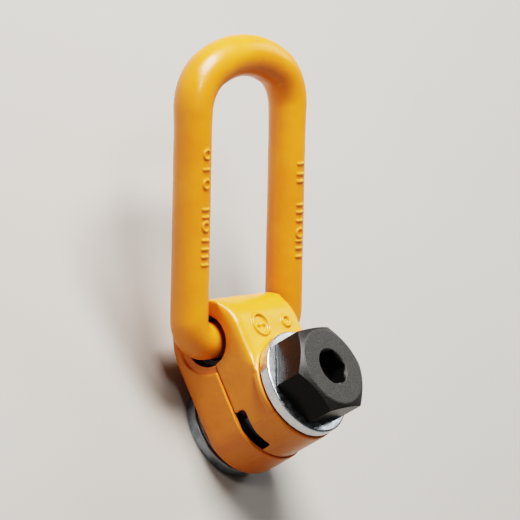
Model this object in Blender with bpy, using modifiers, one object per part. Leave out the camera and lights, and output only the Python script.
"""Swivel lifting point: a forged link held in two half shells that turn on a flanged bush.

The frame is the part's own. The origin is on the bolt axis, in the face that meets the workpiece.
+Z runs along the bolt towards its head, and +Y runs from the bolt towards the link's pivot.
The link is modelled as it hangs in a side pull, at LINK_ANGLE above the workpiece.
"""

import math

import bmesh
import bpy
from mathutils import Matrix, Vector

MM = 0.001
RUNNING_GAP = 0.3 * MM
ROUND_STEPS = 56
SMOOTH_ANGLE = math.radians(32)

# The link, a round bar bent into a long loop. Its crown is a three-centred arch of a stouter bar.
BAR_RADIUS = 7.9 * MM
CROWN_SWELL = 0.11
LINK_HALF_WIDTH = 31.6 * MM
LINK_LEG_END = 96.0 * MM
SHOULDER_BEND_RADIUS = 19.2 * MM
CROWN_BEND_RADIUS = 46.8 * MM
ELBOW_RADIUS = 10.0 * MM
LINK_ANGLE = math.radians(30.0)
SHOULDER_STEPS = 9
CROWN_STEPS = 8
ELBOW_STEPS = 6

# The pivot, where the link's cross bar lies between the two shells.
PIVOT_Y = 32.0 * MM
PIVOT_Z = 25.3 * MM

# The swivel body, in two shells that meet in the plane of the pivot.
FRONT_RADIUS = 23.4 * MM
REAR_RADIUS = 24.1 * MM
FRONT_HALF_WIDTH = 21.4 * MM
REAR_HALF_WIDTH = 22.3 * MM
FRONT_HEIGHT = 18.9 * MM
FRONT_LUG_REACH = 16.7 * MM
REAR_HEIGHT = 19.0 * MM
REAR_LUG_REACH = 18.7 * MM
REAR_LUG_Y = 30.0 * MM
SHELL_EDGE = 2.2 * MM
SHELL_EDGE_STEPS = 3
SEAT_RADIUS = 23.3 * MM
SEAT_HEIGHT = 19.5 * MM
SEAT_EDGE = 0.5 * MM
LUG_ARC_STEPS = 14

# The bores and windows in the shells.
BUSH_BORE_RADIUS = 17.8 * MM
LINK_BORE_RADIUS = 8.4 * MM
MOUTH_RADIUS = 11.0 * MM
MOUTH_FLOOR_X = 15.8 * MM
RECESS_RADIUS = 14.3 * MM
RECESS_FLOOR_X = 20.8 * MM
WINDOW_LENGTH = 18.5 * MM
WINDOW_HEIGHT = 5.3 * MM
WINDOW_RADIAL = 12.0 * MM
WINDOW_ANGLES = (math.radians(210), math.radians(330))
PIN_RADIUS = 2.0 * MM
PIN_HALF_LENGTH = 9.0 * MM
PIN_X = 16.8 * MM
PIN_Y = 17.4 * MM
PIN_CHAMFER = 0.5 * MM

# The flanged bush, which the bolt clamps to the workpiece.
FLANGE_RADIUS = 21.2 * MM
FLANGE_HEIGHT = 4.7 * MM
SHOULDER_RADIUS = 19.6 * MM
SHOULDER_HEIGHT = 5.6 * MM
BARREL_RADIUS = 17.5 * MM
BARREL_HEIGHT = 45.2 * MM
BUSH_BOLT_RADIUS = 12.4 * MM
RING_POCKET_RADIUS = 14.6 * MM
RING_POCKET_HEIGHT = 9.0 * MM
BUSH_EDGE = 0.7 * MM

# The head washer.
WASHER_RADIUS = 22.8 * MM
WASHER_THICKNESS = 5.0 * MM
WASHER_EDGE = 0.8 * MM

# The bolt: an M24 hexagon head that also has a hexagon socket.
BOLT_RADIUS = 12.0 * MM
HEAD_ACROSS_FLATS = 36.0 * MM
HEAD_HEIGHT = 15.0 * MM
HEAD_FACE_RADIUS = 16.4 * MM
HEAD_CHAMFER = math.radians(30)
SOCKET_ACROSS_FLATS = 14.0 * MM
SOCKET_DEPTH = 10.0 * MM
SOCKET_MOUTH = 0.8 * MM
BOLT_PROJECTION = 36.0 * MM
BOLT_TIP_CHAMFER = 2.0 * MM
GROOVE_RADIUS = 10.8 * MM
GROOVE_LOW = 2.4 * MM
GROOVE_HIGH = 4.8 * MM

# The split ring that keeps the bolt in the bush.
RING_BAR_RADIUS = 0.9 * MM
RING_RADIUS = 12.6 * MM
RING_OPENING = math.radians(40)
RING_STEPS = 28


def clear_scene():
    for obj in list(bpy.data.objects):
        bpy.data.objects.remove(obj)


def new_collection(name):
    collection = bpy.data.collections.new(name)
    bpy.context.scene.collection.children.link(collection)
    return collection


def material(name, colour, roughness, metallic):
    made = bpy.data.materials.new(name)
    made.use_nodes = True
    shader = made.node_tree.nodes["Principled BSDF"]
    shader.inputs["Base Color"].default_value = (*colour, 1.0)
    shader.inputs["Roughness"].default_value = roughness
    shader.inputs["Metallic"].default_value = metallic
    return made


def place(name, mesh, collection, finish=None):
    """A new object that holds the mesh, smooth on its round faces."""
    obj = bpy.data.objects.new(name, mesh)
    collection.objects.link(obj)
    if finish:
        mesh.materials.append(finish)
    else:
        obj.hide_render = True
        obj.display_type = "WIRE"
    return obj


def shade(obj):
    obj.data.shade_smooth()
    obj.data.set_sharp_from_angle(angle=SMOOTH_ANGLE)


def arc(centre, radii, start, end, steps):
    """Points of an elliptic arc from angle start to angle end."""
    points = []
    for step in range(steps + 1):
        angle = start + (end - start) * step / steps
        points.append((centre[0] + radii[0] * math.cos(angle), centre[1] + radii[1] * math.sin(angle)))
    return points


def turned(name, profile, collection, finish=None, closed=True):
    """A profile of (radius, height) points swept a full turn about Z.

    The outer side of the profile runs from top to bottom.
    """
    mesh = bpy.data.meshes.new(name)
    count = len(profile)
    edges = [(index, index + 1) for index in range(count - 1)]
    if closed:
        edges.append((count - 1, 0))
    mesh.from_pydata([(radius, 0.0, height) for radius, height in profile], edges, [])
    obj = place(name, mesh, collection, finish)
    screw = obj.modifiers.new("Turn", "SCREW")
    screw.steps = ROUND_STEPS
    screw.render_steps = ROUND_STEPS
    screw.use_merge_vertices = True
    screw.merge_threshold = 0.01 * MM
    screw.use_smooth_shade = True
    return obj


def extruded(name, outline, low, high, collection, finish=None):
    """A flat outline in XY, made solid between two heights."""
    curve = bpy.data.curves.new(name + "_outline", "CURVE")
    curve.dimensions = "2D"
    curve.fill_mode = "BOTH"
    curve.extrude = (high - low) / 2
    spline = curve.splines.new("POLY")
    spline.points.add(len(outline) - 1)
    for point, (x, y) in zip(spline.points, outline):
        point.co = (x, y, 0.0, 1.0)
    spline.use_cyclic_u = True
    guide = bpy.data.objects.new(name + "_outline", curve)
    collection.objects.link(guide)
    mesh = mesh_of(guide)
    mesh.transform(Matrix.Translation((0.0, 0.0, (high + low) / 2)))
    return place(name, mesh, collection, finish)


def mesh_of(guide):
    """The mesh of a curve object, with its caps welded. The curve object is removed."""
    bpy.context.view_layer.update()
    graph = bpy.context.evaluated_depsgraph_get()
    mesh = bpy.data.meshes.new_from_object(guide.evaluated_get(graph))
    mesh.transform(guide.matrix_world)
    welded = bmesh.new()
    welded.from_mesh(mesh)
    bmesh.ops.remove_doubles(welded, verts=welded.verts, dist=0.001 * MM)
    bmesh.ops.recalc_face_normals(welded, faces=welded.faces)
    welded.to_mesh(mesh)
    welded.free()
    bpy.data.objects.remove(guide)
    return mesh


def cylinder(name, radius, low, high, centre, collection, finish=None, segments=ROUND_STEPS):
    shape = bmesh.new()
    bmesh.ops.create_cone(
        shape, cap_ends=True, segments=segments, radius1=radius, radius2=radius, depth=high - low
    )
    bmesh.ops.translate(shape, verts=shape.verts, vec=(centre[0], centre[1], (low + high) / 2))
    mesh = bpy.data.meshes.new(name)
    shape.to_mesh(mesh)
    shape.free()
    return place(name, mesh, collection, finish)


def boolean(obj, other, operation):
    modifier = obj.modifiers.new(other.name, "BOOLEAN")
    modifier.operation = operation
    modifier.object = other
    modifier.solver = "EXACT"


def round_edges(obj, width, steps):
    bevel = obj.modifiers.new("Edges", "BEVEL")
    bevel.width = width
    bevel.segments = steps
    bevel.limit_method = "ANGLE"
    bevel.angle_limit = math.radians(40)


def link_path():
    """The bar's centre line from the right elbow round to the left one, and the bar's swell at each point.

    It lies in the link's own XY plane, with the pivot at the origin.
    """
    bend_x = LINK_HALF_WIDTH - ELBOW_RADIUS
    bend = (ELBOW_RADIUS, ELBOW_RADIUS)
    elbow = arc((bend_x, ELBOW_RADIUS), bend, -math.pi / 2, 0.0, ELBOW_STEPS)
    shoulder_x = LINK_HALF_WIDTH - SHOULDER_BEND_RADIUS
    between = CROWN_BEND_RADIUS - SHOULDER_BEND_RADIUS
    turn = math.acos(shoulder_x / between)
    shoulder = (SHOULDER_BEND_RADIUS, SHOULDER_BEND_RADIUS)
    crown = (CROWN_BEND_RADIUS, CROWN_BEND_RADIUS)
    crown_centre = (0.0, LINK_LEG_END - between * math.sin(turn))
    right = arc((shoulder_x, LINK_LEG_END), shoulder, 0.0, turn, SHOULDER_STEPS)
    right += arc(crown_centre, crown, turn, math.pi / 2, CROWN_STEPS)[1:]
    height = right[-1][1] - LINK_LEG_END
    half = [(x, y, 0.0) for x, y in elbow]
    half += [(x, y, math.sqrt((y - LINK_LEG_END) / height)) for x, y in right]
    return half + [(-x, y, swell) for x, y, swell in half[-2::-1]]


def make_link(collection, paint):
    path = link_path()
    curve = bpy.data.curves.new("link", "CURVE")
    curve.dimensions = "3D"
    curve.bevel_depth = BAR_RADIUS
    curve.bevel_resolution = 4
    spline = curve.splines.new("POLY")
    spline.points.add(len(path) - 1)
    for point, (x, y, swell) in zip(spline.points, path):
        point.co = (x, y, 0.0, 1.0)
        point.radius = 1.0 + CROWN_SWELL * swell
    spline.use_cyclic_u = True
    curve.materials.append(paint)
    link = bpy.data.objects.new("link", curve)
    link.location = (0.0, PIVOT_Y, PIVOT_Z)
    link.rotation_euler = (LINK_ANGLE, 0.0, 0.0)
    collection.objects.link(link)
    return link


def body_plan(radius):
    """One shell seen along the bolt: a half circle with straight sides up to the lug."""
    far = PIVOT_Y + 2 * FRONT_LUG_REACH
    half_circle = arc((0.0, 0.0), (radius, radius), math.pi, 2 * math.pi, ROUND_STEPS // 2)
    return half_circle + [(radius, far), (-radius, far)]


def lug_side(height, reach, centre_y, direction):
    """One shell seen along the pivot, as (y, z): flat over the bolt and rounded over the link."""
    far = -2 * REAR_RADIUS
    nose = arc((centre_y, 0.0), (reach, height), 0.0, math.pi / 2, LUG_ARC_STEPS)
    side = nose + [(far, height), (far, -MM), (nose[0][0], -MM)]
    return [(y, direction * z) for y, z in side]


def shell_blank(name, plan, half_width, side, low, high, collection, cutters, paint):
    """The common part of the shell seen from above and the shell seen from the side."""
    blank = extruded(name, plan, low, high, collection, paint)
    trim = extruded(name + "_side", side, -half_width, half_width, cutters)
    # The side outline is drawn in XY, so X becomes Y, Y becomes Z and Z becomes X.
    trim.data.transform(Matrix(((0, 0, 1, 0), (1, 0, 0, 0), (0, 1, 0, 0), (0, 0, 0, 1))))
    boolean(blank, trim, "INTERSECT")
    round_edges(blank, SHELL_EDGE, SHELL_EDGE_STEPS)
    return blank


def parting_cutter(name, direction, cutters):
    """A block that clears everything past the parting plane, less half the gap."""
    size = 8 * REAR_RADIUS
    shape = bmesh.new()
    bmesh.ops.create_cube(shape, size=size)
    offset = direction * (size / 2 - RUNNING_GAP / 2)
    bmesh.ops.translate(shape, verts=shape.verts, vec=(0.0, 0.0, offset))
    mesh = bpy.data.meshes.new(name)
    shape.to_mesh(mesh)
    shape.free()
    return place(name, mesh, cutters)


def link_bore_cutter(name, recess, cutters):
    """The bore for the link's cross bar, with its wider mouths and, where recess is set, a recess beyond."""
    reach = 2 * REAR_RADIUS
    upper = [(0.0, reach)]
    if recess:
        upper += [(RECESS_RADIUS, reach), (RECESS_RADIUS, RECESS_FLOOR_X), (MOUTH_RADIUS, RECESS_FLOOR_X)]
    else:
        upper += [(MOUTH_RADIUS, reach)]
    upper += [(MOUTH_RADIUS, MOUTH_FLOOR_X), (LINK_BORE_RADIUS, MOUTH_FLOOR_X)]
    lower = [(radius, -height) for radius, height in upper[::-1]]
    cutter = turned(name, upper + lower, cutters, closed=False)
    cutter.location = (0.0, PIVOT_Y, 0.0)
    cutter.rotation_euler = (0.0, math.pi / 2, 0.0)
    return cutter


def window_cutter(index, angle, cutters):
    """A slot in the front shell's wall, along its parting edge."""
    shape = bmesh.new()
    bmesh.ops.create_cube(shape, size=1.0)
    height = WINDOW_HEIGHT + MM
    scale = Vector((WINDOW_RADIAL, WINDOW_LENGTH, height))
    bmesh.ops.scale(shape, verts=shape.verts, vec=scale)
    bmesh.ops.bevel(
        shape,
        geom=[edge for edge in shape.edges if edge.verts[0].co.x * edge.verts[1].co.x < 0],
        offset=1.2 * MM, segments=2, profile=0.5, affect="EDGES",
    )
    bmesh.ops.translate(shape, verts=shape.verts, vec=(FRONT_RADIUS, 0.0, WINDOW_HEIGHT - height / 2))
    bmesh.ops.rotate(shape, verts=shape.verts, cent=(0, 0, 0), matrix=Matrix.Rotation(angle, 3, "Z"))
    mesh = bpy.data.meshes.new(f"window_{index}")
    shape.to_mesh(mesh)
    shape.free()
    return place(f"window_{index}", mesh, cutters)


def shared_cutters(cutters):
    """The bores for the bush and the pins, which run through both shells."""
    reach = 2 * REAR_RADIUS
    centre = (0.0, 0.0)
    found = [cylinder("bush_bore", BUSH_BORE_RADIUS, -reach, reach, centre, cutters)]
    depth = PIN_HALF_LENGTH + RUNNING_GAP
    for side in (-1, 1):
        place_xy = (side * PIN_X, PIN_Y)
        name = "pin_bore_left" if side < 0 else "pin_bore_right"
        radius = PIN_RADIUS + RUNNING_GAP
        found.append(cylinder(name, radius, -depth, depth, place_xy, cutters, segments=20))
    return found


def lift_to_pivot(objects):
    """Moves what was drawn about the parting plane up to its height in the part."""
    for obj in objects:
        obj.location.z += PIVOT_Z


def make_shells(collection, cutters, paint):
    overlap = 2 * MM
    side = lug_side(FRONT_HEIGHT, FRONT_LUG_REACH, PIVOT_Y, 1)
    front = shell_blank(
        "front_shell", body_plan(FRONT_RADIUS), FRONT_HALF_WIDTH, side, -overlap, FRONT_HEIGHT + MM,
        collection, cutters, paint,
    )
    side = lug_side(REAR_HEIGHT, REAR_LUG_REACH, REAR_LUG_Y, -1)
    rear = shell_blank(
        "rear_shell", body_plan(REAR_RADIUS), REAR_HALF_WIDTH, side, -REAR_HEIGHT - MM, overlap,
        collection, cutters, paint,
    )
    seat = turned("washer_seat", seat_profile(), cutters)
    boolean(front, seat, "UNION")
    cuts = shared_cutters(cutters)
    front_bore = link_bore_cutter("front_link_bore", False, cutters)
    rear_bore = link_bore_cutter("rear_link_bore", True, cutters)
    windows = [window_cutter(index, angle, cutters) for index, angle in enumerate(WINDOW_ANGLES)]
    below = parting_cutter("below_parting", -1, cutters)
    above = parting_cutter("above_parting", 1, cutters)
    for cut in cuts + [front_bore] + windows + [below]:
        boolean(front, cut, "DIFFERENCE")
    for cut in cuts + [rear_bore, above]:
        boolean(rear, cut, "DIFFERENCE")
    trims = [cutters.objects[name + "_side"] for name in ("front_shell", "rear_shell")]
    lift_to_pivot([front, rear, seat, front_bore, rear_bore, below, above] + cuts + windows + trims)
    return front, rear


def seat_profile():
    """The raised round seat under the head washer, as a ring about the bolt."""
    inner = BUSH_BORE_RADIUS - MM
    low = FRONT_HEIGHT - SHELL_EDGE
    edge = SEAT_RADIUS - SEAT_EDGE
    return [(inner, SEAT_HEIGHT), (edge, SEAT_HEIGHT), (SEAT_RADIUS, SEAT_HEIGHT - SEAT_EDGE),
            (SEAT_RADIUS, low), (inner, low)]


def make_pins(collection, steel):
    for side, name in ((-1, "dowel_pin_left"), (1, "dowel_pin_right")):
        top = PIN_HALF_LENGTH
        small = PIN_RADIUS - PIN_CHAMFER
        profile = [(0.0, top), (small, top), (PIN_RADIUS, top - PIN_CHAMFER)]
        profile += [(radius, -height) for radius, height in profile[::-1]]
        pin = turned(name, profile, collection, steel, closed=False)
        pin.modifiers["Turn"].steps = 20
        pin.modifiers["Turn"].render_steps = 20
        pin.location = (side * PIN_X, PIN_Y, PIVOT_Z)


def make_bush(collection, zinc):
    """The flange, a low shoulder that carries the rear shell, and the barrel that both shells turn on."""
    edge = BUSH_EDGE
    profile = [
        (BUSH_BOLT_RADIUS + edge, BARREL_HEIGHT),
        (BARREL_RADIUS - edge, BARREL_HEIGHT),
        (BARREL_RADIUS, BARREL_HEIGHT - edge),
        (BARREL_RADIUS, SHOULDER_HEIGHT),
        (SHOULDER_RADIUS, SHOULDER_HEIGHT),
        (SHOULDER_RADIUS, FLANGE_HEIGHT),
        (FLANGE_RADIUS - edge, FLANGE_HEIGHT),
        (FLANGE_RADIUS, FLANGE_HEIGHT - edge),
        (FLANGE_RADIUS, edge),
        (FLANGE_RADIUS - edge, 0.0),
        (RING_POCKET_RADIUS, 0.0),
        (RING_POCKET_RADIUS, RING_POCKET_HEIGHT),
        (BUSH_BOLT_RADIUS, RING_POCKET_HEIGHT),
        (BUSH_BOLT_RADIUS, BARREL_HEIGHT - edge),
    ]
    return turned("bush", profile, collection, zinc)


def make_head_washer(collection, zinc):
    low = BARREL_HEIGHT + RUNNING_GAP
    high = low + WASHER_THICKNESS
    inner = BUSH_BOLT_RADIUS + RUNNING_GAP
    edge = WASHER_EDGE
    profile = [
        (inner, high),
        (WASHER_RADIUS - edge, high),
        (WASHER_RADIUS, high - edge),
        (WASHER_RADIUS, low + edge),
        (WASHER_RADIUS - edge, low),
        (inner, low),
    ]
    return turned("head_washer", profile, collection, zinc)


def hexagon(name, across_flats, low, high, collection, finish=None):
    """A hexagonal prism about Z, with two of its corners on the X axis."""
    radius = across_flats / math.sqrt(3)
    prism = cylinder(name, radius, low, high, (0.0, 0.0), collection, finish, segments=6)
    prism.data.transform(Matrix.Rotation(math.radians(30), 4, "Z"))
    return prism


def head_envelope(base, cutters):
    """The cone that takes the corners off the head's front face."""
    top = base + HEAD_HEIGHT
    wide = HEAD_ACROSS_FLATS
    drop = (wide - HEAD_FACE_RADIUS) * math.tan(HEAD_CHAMFER)
    low = base - 5 * MM
    profile = [(0.0, top), (HEAD_FACE_RADIUS, top), (wide, top - drop), (wide, low), (0.0, low)]
    return turned("head_envelope", profile, cutters, closed=False)


def shank_profile(base):
    """The shank from just inside the head to its tip, with the groove for the retaining ring."""
    tip = -BOLT_PROJECTION
    return [
        (0.0, base + 3 * MM),
        (BOLT_RADIUS, base + 3 * MM),
        (BOLT_RADIUS, GROOVE_HIGH),
        (GROOVE_RADIUS, GROOVE_HIGH),
        (GROOVE_RADIUS, GROOVE_LOW),
        (BOLT_RADIUS, GROOVE_LOW),
        (BOLT_RADIUS, tip + BOLT_TIP_CHAMFER),
        (BOLT_RADIUS - BOLT_TIP_CHAMFER, tip),
        (0.0, tip),
    ]


def socket_profile(top):
    """The countersink round the mouth of the hexagon socket."""
    corner = SOCKET_ACROSS_FLATS / math.sqrt(3)
    wide = corner + SOCKET_MOUTH + MM
    return [(0.0, top + MM), (wide, top + MM), (corner, top - SOCKET_MOUTH), (0.0, top - 2 * MM)]


def make_bolt(collection, cutters, black):
    base = BARREL_HEIGHT + WASHER_THICKNESS + 2 * RUNNING_GAP
    top = base + HEAD_HEIGHT
    bolt = hexagon("hex_bolt", HEAD_ACROSS_FLATS, base, top, collection, black)
    boolean(bolt, head_envelope(base, cutters), "INTERSECT")
    boolean(bolt, turned("shank", shank_profile(base), cutters, closed=False), "UNION")
    socket = hexagon("socket", SOCKET_ACROSS_FLATS, top - SOCKET_DEPTH, top + MM, cutters)
    boolean(bolt, socket, "DIFFERENCE")
    boolean(bolt, turned("socket_mouth", socket_profile(top), cutters, closed=False), "DIFFERENCE")
    return bolt


def make_retaining_ring(collection, steel):
    """An open ring of round wire in the groove of the bolt, free to slide in the bush's pocket."""
    start = math.pi / 2 + RING_OPENING / 2
    end = math.pi / 2 + 2 * math.pi - RING_OPENING / 2
    curve = bpy.data.curves.new("bolt_retaining_ring", "CURVE")
    curve.dimensions = "3D"
    curve.bevel_depth = RING_BAR_RADIUS
    curve.bevel_resolution = 1
    curve.use_fill_caps = True
    path = arc((0.0, 0.0), (RING_RADIUS, RING_RADIUS), start, end, RING_STEPS)
    spline = curve.splines.new("POLY")
    spline.points.add(len(path) - 1)
    for point, (x, y) in zip(spline.points, path):
        point.co = (x, y, 0.0, 1.0)
    curve.materials.append(steel)
    ring = bpy.data.objects.new("bolt_retaining_ring", curve)
    ring.location = (0.0, 0.0, (GROOVE_LOW + GROOVE_HIGH) / 2)
    collection.objects.link(ring)
    return ring


def main():
    clear_scene()
    parts = new_collection("swivel_lifting_point")
    cutters = new_collection("cutters")
    paint = material("yellow_paint", (0.82, 0.36, 0.03), 0.32, 0.0)
    zinc = material("zinc_plate", (0.62, 0.66, 0.72), 0.25, 1.0)
    black = material("black_oxide", (0.03, 0.03, 0.032), 0.42, 0.8)
    steel = material("spring_steel", (0.25, 0.25, 0.26), 0.35, 1.0)
    make_link(parts, paint)
    front, rear = make_shells(parts, cutters, paint)
    make_pins(parts, steel)
    make_bush(parts, zinc)
    make_head_washer(parts, zinc)
    make_bolt(parts, cutters, black)
    make_retaining_ring(parts, steel)
    shade(front)
    shade(rear)


main()
